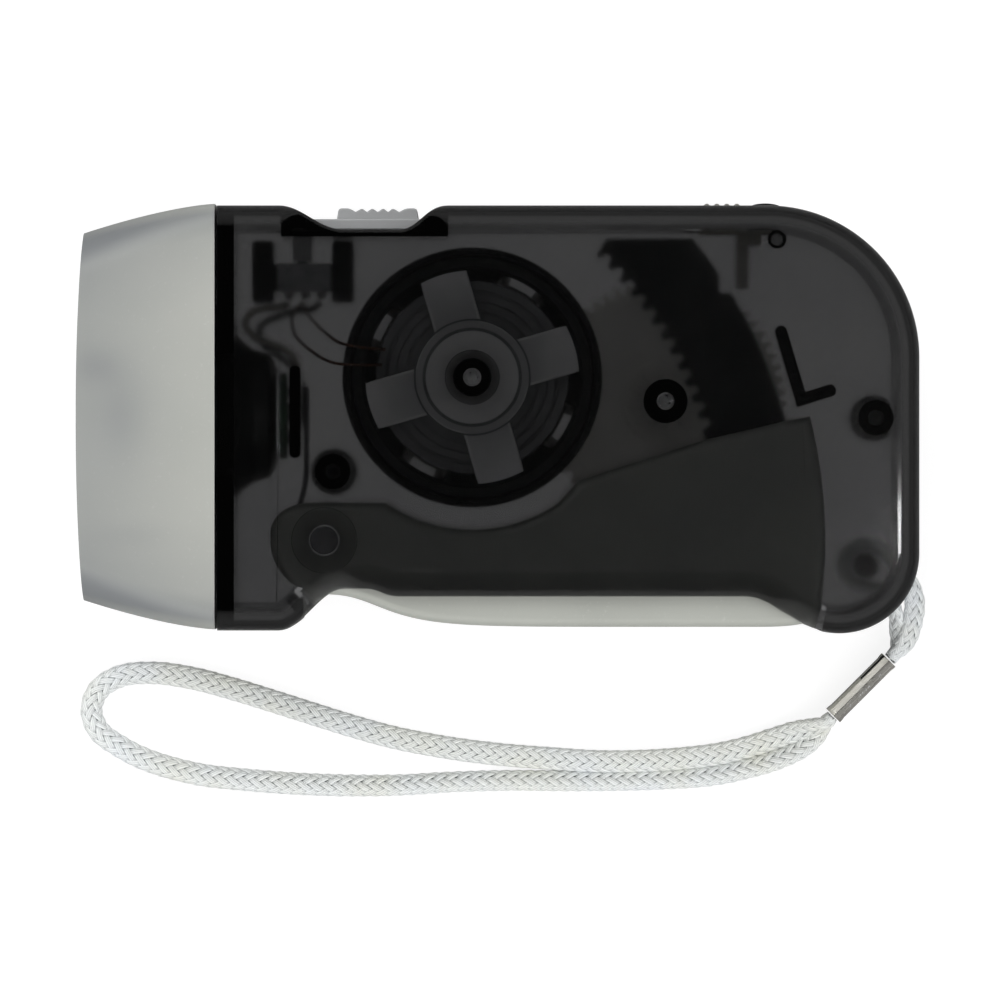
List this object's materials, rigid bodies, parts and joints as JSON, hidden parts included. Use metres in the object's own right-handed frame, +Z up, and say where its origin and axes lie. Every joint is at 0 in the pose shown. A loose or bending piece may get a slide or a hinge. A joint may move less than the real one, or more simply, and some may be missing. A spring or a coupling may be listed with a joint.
{
  "type": "hand-squeezed dynamo flashlight",
  "caption": "Squeeze-lever dynamo flashlight: smoky clear housing over a toothed sector, gear train and flywheel generator, silver lamp head, sliding switch and braided wrist cord.",
  "frame": {"origin": "middle of the footprint of the flashlight lying on the back face of its housing, at the surface; the lanyard is left out", "axes": "+X towards the tail, the lamp shines along -X; +Y towards the switch edge, the lever is at -Y; +Z up, away from the surface, towards the viewer"},
  "size_m": [0.107, 0.0743, 0.0264],
  "materials": {
    "smoky_plastic": "see-through smoky moulding, polished",
    "silver_paint": "silver paint on moulded plastic",
    "clear_plastic": "clear polished moulding",
    "plated_plastic": "vacuum-plated bowl, black behind",
    "circuit_board": "solder mask",
    "lamp_resin": "clear epoxy",
    "grey_plastic": "fine matte moulding",
    "ivory_plastic": "fine matte moulding",
    "white_nylon": "moulded nylon",
    "tinned_steel": "stamped sheet",
    "black_plastic": "moulded acetal",
    "lever_plastic": "silver-grey moulding",
    "steel": "ground",
    "blackened_steel": "black coating",
    "ferrite": "sintered",
    "enamelled_copper": "enamelled copper wire",
    "light_insulation": "soft insulation",
    "dark_insulation": "soft insulation",
    "silver_cord": "flat braid with metallic yarn",
    "nickel_plate": "nickel-plated sheet"
  },
  "bodies": {
    "housing": {"housing_front": "smoky_plastic", "housing_back": "smoky_plastic", "housing_screw_1": "steel", "housing_screw_2": "steel", "head_bezel": "silver_paint", "front_lens": "clear_plastic", "reflector": "plated_plastic", "led_board": "circuit_board", "led_1": "lamp_resin", "led_2": "lamp_resin", "led_3": "lamp_resin", "slide_switch_body": "tinned_steel", "lever_pivot_pin": "steel", "return_spring": "steel", "gear_pin": "steel", "flywheel_shaft": "steel", "rear_claw_plate": "tinned_steel", "front_claw_plate": "tinned_steel", "coil_bobbin": "black_plastic", "coil_winding": "enamelled_copper", "lead_wire_light": "light_insulation", "lead_wire_dark": "dark_insulation", "coil_wire_1": "enamelled_copper", "coil_wire_2": "enamelled_copper", "eye_cord": "silver_cord", "wrist_cord": "silver_cord", "crimp_sleeve": "nickel_plate"},
    "lever": {"lever_cover": "lever_plastic", "sector_gear": "black_plastic"},
    "gear": {"compound_gear": "white_nylon"},
    "clutch": {"clutch_gear": "white_nylon"},
    "rotor": {"flywheel": "blackened_steel", "ring_magnet": "ferrite"},
    "button": {"switch_button": "grey_plastic", "slide_switch_nub": "black_plastic"},
    "latch": {"lock_latch": "ivory_plastic"}
  },
  "joints": [
    {"name": "lever_swing", "type": "hinge", "parent": "housing", "child": "lever", "pos_m": [-0.02155, -0.01525, 0.0132], "axis": [0, 0, -1], "range_deg": [0, 22], "stiffness_Nm_per_rad": 0.1, "springref_deg": -22.92},
    {"name": "gear_spin", "type": "hinge", "parent": "housing", "child": "gear", "pos_m": [0.02091, 0.00207, 0.0132], "axis": [0, 0, -1], "range_deg": [0, 285]},
    {"name": "clutch_spin", "type": "hinge", "parent": "housing", "child": "clutch", "pos_m": [-0.00315, 0.00505, 0.0132], "axis": [0, 0, 1], "range_deg": [0, 461]},
    {"name": "flywheel_overrun", "type": "hinge", "parent": "clutch", "child": "rotor", "pos_m": [-0.00315, 0.00505, 0.0132], "axis": [0, 0, 1], "continuous": true},
    {"name": "switch_slide", "type": "slide", "parent": "housing", "child": "button", "axis": [1, 0, 0], "range_m": [-0.002, 0]},
    {"name": "latch_slide", "type": "slide", "parent": "housing", "child": "latch", "axis": [1, 0, 0], "range_m": [-0.0016, 0]}
  ],
  "couplings": [
    {"joint": "gear_spin", "follows": "lever_swing", "ratio": 12.909},
    {"joint": "clutch_spin", "follows": "lever_swing", "ratio": 20.934}
  ]
}
